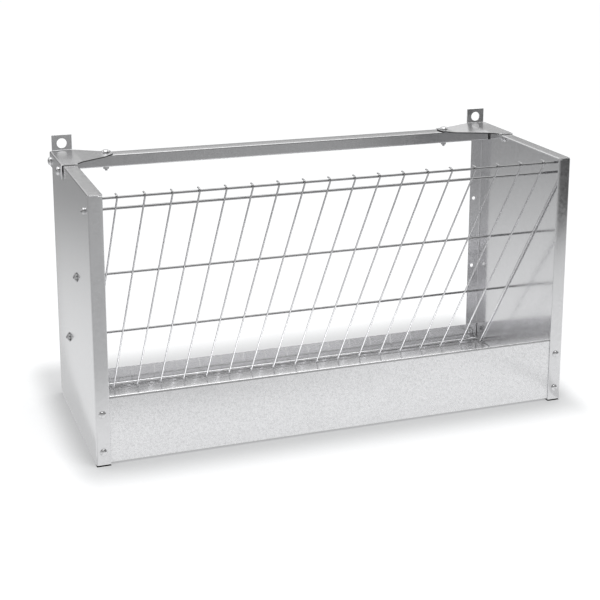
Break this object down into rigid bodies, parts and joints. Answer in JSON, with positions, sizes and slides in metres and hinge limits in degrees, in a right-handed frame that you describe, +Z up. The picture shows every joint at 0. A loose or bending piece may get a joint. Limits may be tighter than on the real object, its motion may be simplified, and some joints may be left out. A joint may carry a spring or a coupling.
{
  "type": "wall hay rack",
  "caption": "Galvanised hay rack for a wall: folded side panels carry a sloping wire grid above a feed trough, with holed tabs at the top corners.",
  "frame": {"origin": "middle of the length and depth, on the floor that the rack stands on", "axes": "+X along the rack to the viewer's right, +Y from the front to the wall, +Z up"},
  "size_m": [1.0164, 0.4078, 0.5678],
  "materials": {
    "panel_zinc": "galvanised, smooth",
    "trough_zinc": "galvanised, fine grain",
    "rail_zinc": "galvanised, smooth",
    "bracket_zinc": "galvanised, semi-gloss",
    "rod_zinc": "zinc plated wire",
    "wire_zinc": "zinc plated wire",
    "bolt_zinc": "zinc plated, bright",
    "nut_zinc": "zinc plated",
    "push_nut_steel": "zinc plated spring steel"
  },
  "bodies": {
    "root": {"left_side_panel": "panel_zinc", "right_side_panel": "panel_zinc", "feed_trough": "trough_zinc", "rear_top_rail": "rail_zinc", "left_corner_bracket": "bracket_zinc", "right_corner_bracket": "bracket_zinc", "grid_top_rod": "rod_zinc", "grid_support_rod": "rod_zinc", "grid_upper_cross_rod": "rod_zinc", "grid_lower_cross_rod": "rod_zinc", "grid_bottom_rod": "rod_zinc", "grid_wire_01": "wire_zinc", "grid_wire_02": "wire_zinc", "grid_wire_03": "wire_zinc", "grid_wire_04": "wire_zinc", "grid_wire_05": "wire_zinc", "grid_wire_06": "wire_zinc", "grid_wire_07": "wire_zinc", "grid_wire_08": "wire_zinc", "grid_wire_09": "wire_zinc", "grid_wire_10": "wire_zinc", "grid_wire_11": "wire_zinc", "grid_wire_12": "wire_zinc", "grid_wire_13": "wire_zinc", "grid_wire_14": "wire_zinc", "grid_wire_15": "wire_zinc", "grid_wire_16": "wire_zinc", "grid_wire_17": "wire_zinc", "grid_wire_18": "wire_zinc", "grid_wire_19": "wire_zinc", "grid_wire_20": "wire_zinc", "left_lower_trough_front_bolt": "bolt_zinc", "left_lower_trough_front_nut": "nut_zinc", "left_upper_trough_front_bolt": "bolt_zinc", "left_upper_trough_front_nut": "nut_zinc", "left_trough_rear_bolt": "bolt_zinc", "left_trough_rear_nut": "nut_zinc", "left_rear_bracket_bolt": "bolt_zinc", "left_rear_bracket_nut": "nut_zinc", "left_front_bracket_bolt": "bolt_zinc", "left_front_bracket_nut": "nut_zinc", "left_rail_bolt": "bolt_zinc", "left_rail_nut": "nut_zinc", "left_upper_rod_push_nut": "push_nut_steel", "left_lower_rod_push_nut": "push_nut_steel", "right_lower_trough_front_bolt": "bolt_zinc", "right_lower_trough_front_nut": "nut_zinc", "right_upper_trough_front_bolt": "bolt_zinc", "right_upper_trough_front_nut": "nut_zinc", "right_trough_rear_bolt": "bolt_zinc", "right_trough_rear_nut": "nut_zinc", "right_rear_bracket_bolt": "bolt_zinc", "right_rear_bracket_nut": "nut_zinc", "right_front_bracket_bolt": "bolt_zinc", "right_front_bracket_nut": "nut_zinc", "right_rail_bolt": "bolt_zinc", "right_rail_nut": "nut_zinc", "right_upper_rod_push_nut": "push_nut_steel", "right_lower_rod_push_nut": "push_nut_steel"}
  },
  "joints": []
}
